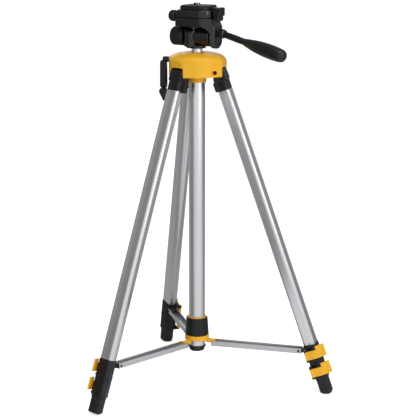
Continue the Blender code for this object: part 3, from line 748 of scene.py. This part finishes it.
def make_crown():
    crown = prism("crown_shell", hull(crown_plan(), -0.15, 180), CROWN_BOTTOM, CROWN_TOP + 2, COLUMN)
    dome = [
        (0, CROWN_TOP), (13, CROWN_TOP - 0.2), (22, 500.4), (31, 498.6), (36.5, 496.6),
        (40, 494.0), (42.4, 490.6), (43.8, 485.0), (44.2, CROWN_BOTTOM - 2),
    ]
    profile = smooth_path(dome, 5)
    keep(crown, lathe("dome", [*profile, (0, CROWN_BOTTOM - 2)], COLUMN, steps=120))
    for number in (1, 2, 3):
        low, high = (SLOT_INNER, -SLOT_HALF, CROWN_BOTTOM - 6), (60, SLOT_HALF, SLOT_TOP)
        cut(crown, block("slot", low, high, plan_frame(number), 0.8))
    mould(crown, 0.55, 9, 0.45)
    tools = []
    for number in (1, 2, 3):
        plan = plan_frame(number)
        tools.append(rod("pin_hole", PIN_RADIUS + GAP, -40, 17, plan, "y", (HINGE_RHO, 0, HINGE_Z)))
    narrow, wide = COLUMN_RADIUS + GAP, TUBE_RADIUS + GAP
    bore = [
        (0, CROWN_TOP + 5), (narrow, CROWN_TOP + 5), (narrow, TUBE_HEAD),
        (wide, TUBE_HEAD), (wide, CROWN_BOTTOM - 8), (0, CROWN_BOTTOM - 8),
    ]
    tools.append(lathe("bore", bore, COLUMN))
    tools.append(rod("crank_hole", 3.0, 20, 60, CRANK, "x"))
    for tool in tools:
        cut(crown, tool)
    place(crisp(crown, 50), YELLOW, "crown_body")

    top, bottom = CROWN_BOTTOM - GAP, CROWN_BOTTOM - 10.0
    ring = fillet([(13.6, top), (13.6, bottom), (wide, bottom), (wide, top)], 0.3, 3, True)
    place(crisp(lathe("crown_ring", ring, COLUMN, ring=True)), YELLOW, "crown_lower_ring")


def make_column():
    wall = TUBE_RADIUS - TUBE_WALL
    tube = [(TUBE_RADIUS, TUBE_HEAD), (TUBE_RADIUS, TUBE_BOTTOM), (wall, TUBE_BOTTOM), (wall, TUBE_HEAD)]
    tube = fillet(tube, 0.25, 3, True)
    place(crisp(lathe("outer_column_tube", tube, COLUMN, ring=True, steps=96), 50), SILVER, "outer_tube")
    fitted, rim = wall - GAP, TUBE_BOTTOM - GAP
    plug = [
        (0, 70), (fitted, 70), (fitted, rim), (11.6, rim),
        (11.6, 51.2), (10.4, 49.4), (8.4, 48.8), (0, 48.8),
    ]
    place(crisp(lathe("end_plug", fillet(plug, 0.5), COLUMN), 50), BLACK, "tube_end_plug")
    around_tube = TUBE_RADIUS + GAP
    stop = [(13.4, 57.4), (13.4, 54.8), (around_tube, 54.8), (around_tube, 57.4)]
    stop = fillet(stop, 0.5, 3, True)
    place(crisp(lathe("stop_collar", stop, COLUMN, ring=True), 50), BLACK, "stop_ring")
    high, low, around_column = TUBE_HEAD - 4, TUBE_HEAD - 22, COLUMN_RADIUS + GAP
    bush = [(fitted, high), (fitted, low), (around_column, low), (around_column, high)]
    bush = fillet(bush, 0.3, 3, True)
    place(crisp(lathe("column_bush", bush, COLUMN, ring=True), 50), BLACK, "column_bushing")
    bore, end, cap = 6.6, 92.0, COLUMN_TOP - 6
    inner = [
        (0, COLUMN_TOP), (COLUMN_RADIUS, COLUMN_TOP), (COLUMN_RADIUS, end),
        (bore, end), (bore, cap), (0, cap),
    ]
    column = lathe("inner_column", fillet(inner, 0.3), COLUMN)
    pitch, start, teeth = 3.2, 110.0, 112
    shape = bmesh.new()
    for n in range(teeth):
        low = start + n * pitch
        high = low + pitch * 0.5
        made = bmesh.ops.create_cube(shape, size=1.0)["verts"]
        bmesh.ops.scale(shape, vec=(2.0, 5.0, high - low), verts=made)
        bmesh.ops.translate(shape, vec=(COLUMN_RADIUS - 0.2, 0, (low + high) / 2), verts=made)
    toward_crank = axes(COLUMN.translation, x=JOINTS["crank_turn"]["axis"], z=UP)
    cut(column, to_object("teeth", shape, toward_crank))
    place(crisp(column, 40), SILVER, "centre_column")


def make_crank():
    boss = [(0, 51.4), (3.4, 51.4), (4.2, 50.4), (4.2, 42.3), (2.6, 42.3), (2.6, 24.0), (0, 24.0)]
    place(crisp(lathe("crank_hub", fillet(boss, 0.5), CRANK, "x"), 50), BLACK, "crank_boss")
    arm = prism("crank_lever", hull([(7.0, 0, 5.6), (36.0, 0, 6.4)], steps=72), 46.4, 54.8, CRANK, "x")
    bevel(arm, 1.2, 4, 50)
    cut(arm, rod("knuckle", 5.6, -20, 20, CRANK, "y", (51.4, 0, -47.0)))
    for low, high in ((44.0, 47.2), (54.0, 57.0)):
        cut(arm, prism("dish", hull([(13, 0, 3.2), (32.0, 0, 3.6)], steps=48), low, high, CRANK, "x"))
    place(crisp(arm, 40), BLACK, "crank_arm")
    plan = [Vector((p.x, -p.y)) for p in hull([(0, 0, 5.3), (-3.0, -10.6, 3.2)], steps=48)]
    grip = prism("crank_knob", plan, -5.4, 5.4, CRANK_GRIP, "y")
    bevel(grip, 1.0, 3, 50)
    place(crisp(grip, 40), BLACK, "crank_grip")


def make_spreader():
    sleeve = [
        (14.9, SLEEVE_TOP), (16.1, SLEEVE_TOP - 0.8), (17.8, HUB_TOP + 1.4),
        (17.4, HUB_TOP + GAP), (14.5, HUB_TOP + GAP), (14.5, SLEEVE_TOP),
    ]
    sleeve = fillet(sleeve, 0.4, 3, True)
    place(crisp(lathe("lock_sleeve", sleeve, COLUMN, ring=True, steps=96), 50), BLACK, "hub_sleeve")
    bore, neck, neck_top = TUBE_RADIUS + GAP, 14.1, SLEEVE_TOP + 1.0
    ring = [
        (neck, neck_top), (neck, HUB_TOP), (HUB_RADIUS - 0.8, HUB_TOP), (HUB_RADIUS, HUB_TOP - 0.8),
        (HUB_RADIUS, HUB_BOTTOM + 0.6), (HUB_RADIUS - 0.6, HUB_BOTTOM),
        (bore, HUB_BOTTOM), (bore, neck_top),
    ]
    ring = fillet(ring, 0.4, 3, True)
    hub = lathe("spreader_hub", ring, COLUMN, ring=True, steps=96)
    for number in (1, 2, 3):
        plan = plan_frame(number)
        join(hub, block("ear", (14.2, -3.2, 62.5), (29.0, 3.2, HUB_BOTTOM + 1.0), plan, 0.7))
    place(crisp(hub, 45), YELLOW, "hub")


# Head ----------------------------------------------------------------------------------------


def up_outline(points):
    """An outline given as (x, z) or (y, z), for a prism along y or x, whose own axes run down."""
    return [Vector((p[0], -p[1])) for p in points]


def along_x(points):
    """An outline given as (y, z), for a prism along x, whose own x runs down."""
    return [Vector((-p[1], p[0])) for p in points]


def make_pan_base():
    """A post and a barrel on the tilt axis, both on a round seat that turns on the column."""
    seat = hull([(-5.5, 0, 10.5), (0.5, 0, 12.5)], steps=96)
    base = prism("pan_seat", seat, COLUMN_TOP + GAP, 510.5, HEAD)
    post = prism("post", hull([(*POST_AT, 10.2)], steps=96), 509.0, 533.5, HEAD)
    at = (0, 0, TILT_Z)
    barrel = rod("barrel", BARREL_RADIUS, 1.2, 24.0, HEAD, "x", at, 1.0, 96)
    barrel_end = rod("barrel_end", 9.0, 20.0, ARM_INNER - GAP, HEAD, "x", at, 0.5, 72)
    join(base, post, barrel, barrel_end)
    swing = hull([(0, TILT_Z, SWING_RADIUS), (-20, 500, 6), (20, 500, 6)], steps=144)
    keep(base, prism("swing", along_x(swing), -60, 60, HEAD, "x"))
    groove = [(10.9, 511.6), (10.9, 513.2), (9.6, 513.2), (9.6, 511.6)]
    cut(base, lathe("post_groove", groove, HEAD, at=(*POST_AT, 0), steps=96, ring=True))
    place(mould(base, 0.4, 3, 0.5), GLOSSY, "pan_base")
    profile = fillet([(0, 535.6), (2.1, 535.6), (2.8, 534.8), (2.8, 533.8), (0, 533.8)], 0.3)
    screw = lathe("pan_screw", profile, HEAD, at=(-3.6, -3.0, 0), steps=40)
    cut(screw, block("cross_a", (-5.2, -3.3, 534.9), (-2.0, -2.7, 537), HEAD))
    cut(screw, block("cross_b", (-3.9, -4.6, 534.9), (-3.3, -1.4, 537), HEAD))
    place(crisp(screw, 40), STEEL, "pan_lock_screw")


def make_tilt_body():
    """A housing over the pan base, with a rear skirt and one arm down to the tilt axis."""
    half, curve = HEAD_HALF_DEPTH, ARCH_CURVE
    front = [
        Vector((HOUSING_LEFT, SKIRT_BOTTOM)), Vector((ARM_INNER, SKIRT_BOTTOM)),
        Vector((ARM_INNER, 500.0)), Vector((ARM_OUTER, 500.0)), Vector((ARM_OUTER, 538.0)),
        Vector((HEAD_RIGHT, 544.0)), Vector((HEAD_RIGHT, SEAM_Z)), Vector((HOUSING_LEFT, SEAM_Z)),
    ]
    body = prism("tilt_housing", up_outline(front), -half - 2, half + 2, HEAD, "y")
    sides = [(0, TILT_Z, 15.8)]
    sides += [(y, z, 4.0) for y in (4 - half, half - 4) for z in (545.0, 560.0)]
    plan = [
        (HOUSING_LEFT + 6, -14.0, 6.0), (HOUSING_LEFT + 6, 14.0, 6.0),
        (HEAD_RIGHT - 3, 17.0, 3.0), (ARM_OUTER - 3, 13.0, 3.0),
        (HEAD_RIGHT - HEAD_ROUND, HEAD_ROUND - half, HEAD_ROUND), (ARM_OUTER - 7, -5.0, 7.0),
    ]
    keep(body, prism("side", along_x(hull(sides, steps=144)), -60, 60, HEAD, "x"))
    keep(body, prism("plan", hull(plan, steps=144), 490, 570, HEAD))
    arch = [
        Vector((-60, 500)), Vector((ARM_INNER - 0.02, 500)),
        *arc((ARM_INNER - curve, HOUSING_BOTTOM - curve), curve - 0.02, 0, 90, 24),
        Vector((-60, HOUSING_BOTTOM)),
    ]
    cut(body, prism("arch", up_outline(arch), -40.0, 8.0, HEAD, "y"))
    at = (0, 0, TILT_Z)
    cut(body, rod("clearance", SWING_RADIUS + GAP, -60.0, ARM_INNER, HEAD, "x", at, 0.2, 96))
    cut(body, block("relief", (-60, 12.6, SEAM_Z - 1.8), (60, 30, SEAM_Z + 5), HEAD))
    mould(body, 0.4, 8, 0.5)
    ring = [(9.6, 36.0), (9.6, 33.2), (8.9, 33.2), (8.9, 36.0)]
    cut(body, lathe("boss_groove", ring, HEAD, "x", at, 96, True))
    place(crisp(body, 60), GLOSSY, "tilt_body")


def make_platform():
    left, right, half = HEAD_LEFT, HEAD_RIGHT, HEAD_HALF_DEPTH
    corners = [
        (left + 5, 5 - half, 5.0), (left + 5, half - 5, 5.0), (right - 5, half - 5, 5.0),
        (right - HEAD_ROUND, HEAD_ROUND - half, HEAD_ROUND),
    ]
    platform = prism("platform_shell", hull(corners, steps=144), SEAM_Z + GAP, PLATFORM_TOP, HEAD)
    bevel(platform, 1.8, 5, 50)
    cut(platform, rod("pocket", 2.2, PLATFORM_TOP - 4.5, 580, HEAD, at=STUD_AT))
    place(crisp(platform, 35), GLOSSY, "head_platform")
    plan = [(-15.0, -14.4, 4.5), (-15.0, 13.0, 4.5), (20.8, 13.0, 4.5), (12.3, -5.9, 13.0)]
    plate = prism("camera_plate", hull(plan), PLATFORM_TOP + GAP, 566.6, HEAD)
    bevel(plate, 0.8, 4, 50)
    pad = prism("rubber_pad", hull(plan, -1.0), 566.9, PLATE_TOP, HEAD)
    grooves = []
    for n in range(11):
        y = -16.6 + n * 3.2
        if abs(y + 0.6) > 4.4:
            corners = (-16.0, y - 0.4, PLATE_TOP - 0.5), (22.0, y + 0.4, PLATE_TOP + 1)
            grooves.append(block("groove", *corners, HEAD))
    cut(pad, *grooves)
    for layer in (plate, pad):
        cut(layer, rod("screw_hole", 3.6, 560, 580, HEAD, at=SCREW_AT))
        cut(layer, rod("stud_hole", 2.2, 560, 580, HEAD, at=STUD_AT))
    place(crisp(plate, 35), BLACK, "quick_release_plate")
    place(crisp(pad, 35), RUBBER, "plate_pad")
    screw = lathe("camera_thread", thread_profile(), HEAD, at=SCREW_AT, steps=48)
    place(crisp(screw, 30), STEEL, "camera_screw")
    stud = fillet([(0, 571.6), (1.6, 571.6), (1.6, PLATFORM_TOP + 0.6), (0, PLATFORM_TOP + 0.6)], 0.7)
    place(crisp(lathe("twist_stud", stud, HEAD, at=STUD_AT, steps=32), 50), DARK_STEEL_PIN_SHADE, "antitwist_pin")
    cam = block("release_cam", (HEAD_RIGHT + 0.7, -9, 554.0), (41.5, 8, 566.2), HEAD, 1.5)
    join(cam, block("tail", (32.5, -8, 547.0), (39.5, 7, 555.5), HEAD, 1.5))
    for n in range(5):
        cut(cam, block("grip_line", (41.1, -6.4 + 2.8 * n, 556.5), (43.0, -5.4 + 2.8 * n, 563.8), HEAD))
    mould(cam, 0.4, 3, 0.5)
    place(cam, BLACK, "quick_release_lever")


def thread_profile():
    """The camera screw from its tip down: rings at a 1/4 inch screw's pitch, then its plain head."""
    tip, pitch = 572.0, 1.27
    profile = [(0, tip), (2.4, tip)]
    z = tip - 0.3
    while z > 566.0:
        profile += [(3.1, z - 0.3), (2.55, z - 0.92)]
        z -= pitch
    return [*profile, (3.1, 565.4), (3.1, PLATFORM_TOP + 0.6), (0, PLATFORM_TOP + 0.6)]


def knob_outline(radius, ribs, depth, steps=10):
    points = []
    for n in range(ribs * steps):
        angle = math.tau * n / (ribs * steps)
        wave = 0.5 + 0.5 * math.cos(angle * ribs)
        out = radius - depth * (1 - wave) ** 2
        points.append(Vector((out * math.cos(angle), out * math.sin(angle))))
    return points


def make_knobs():
    at = (0, 0, TILT_Z)
    big = prism("tilt_knob", knob_outline(13.7, 18, 1.0), -40.4, -18.4, HEAD, "x", at)
    dome = [
        (0, -40.4), (8, -40.2), (11.6, -39.0), (13.4, -36.8), (14.0, -34.0),
        (14.0, -22.0), (13.2, -19.6), (11.6, -18.4), (0, -18.4),
    ]
    keep(big, lathe("dome", dome, HEAD, "x", at))
    ring = [(9.4, -43.0), (9.4, -39.6), (8.6, -39.6), (8.6, -43.0)]
    cut(big, lathe("ring", ring, HEAD, "x", at, 72, True))
    place(crisp(bevel(big, 0.3, 2, 50), 45), BLACK, "tilt_lock_knob")
    small = prism("flip_knob", knob_outline(8.2, 12, 0.7), -41.6, -30.0, HEAD, "x", FLIP_KNOB_AT)
    dome = [
        (0, -41.6), (4, -41.4), (6.6, -40.2), (8.0, -37.8),
        (8.3, -34.8), (8.3, -31.6), (7.2, -30.0), (0, -30.0),
    ]
    keep(small, lathe("dome", dome, HEAD, "x", FLIP_KNOB_AT))
    join(small, rod("stem", 4.0, -31.0, HOUSING_LEFT - GAP, HEAD, "x", FLIP_KNOB_AT))
    join(small, rod("shaft", 1.5, -29.0, HEAD_LEFT - GAP, HEAD, "x", FLIP_KNOB_AT))
    place(crisp(bevel(small, 0.25, 2, 50), 45), BLACK, "platform_lock_knob")


def make_handle():
    ferrule = fillet([(0, 11.0), (5.0, 11.0), (6.6, 9.0), (6.6, 1.2), (0, 1.2)], 1.0)
    place(crisp(lathe("handle_socket", ferrule, HANDLE), 50), GLOSSY, "handle_ferrule")
    low, high = 11.3, 11.3 + 36.5
    bar = fillet([(0, high), (4.6, high), (4.9, low + 18), (4.6, low), (0, low)], 0.4)
    place(crisp(lathe("handle_bar", bar, HANDLE), 50), BLACK, "handle_rod")
    start = high + GAP
    swell = [
        (5.4, start + 0.4), (6.6, start + 7), (9.2, start + 24),
        (10.3, start + 46), (9.4, start + 64), (7.4, start + 69.6),
    ]
    end = [(5.0, start + 71.4), (2.4, start + 72.0), (0, start + 72.0)]
    profile = [(0, start), (4.8, start), *smooth_path(swell), *end]
    place(crisp(lathe("handle_sleeve", profile, HANDLE, steps=96), 50), GRIP, "handle_grip")


make_camera()
make_world()
make_lights()
make_floor()
make_crown()
make_column()
make_crank()
make_spreader()
for leg_number in (1, 2, 3):
    make_leg(leg_number)
make_pan_base()
make_tilt_body()
make_platform()
make_knobs()
make_handle()
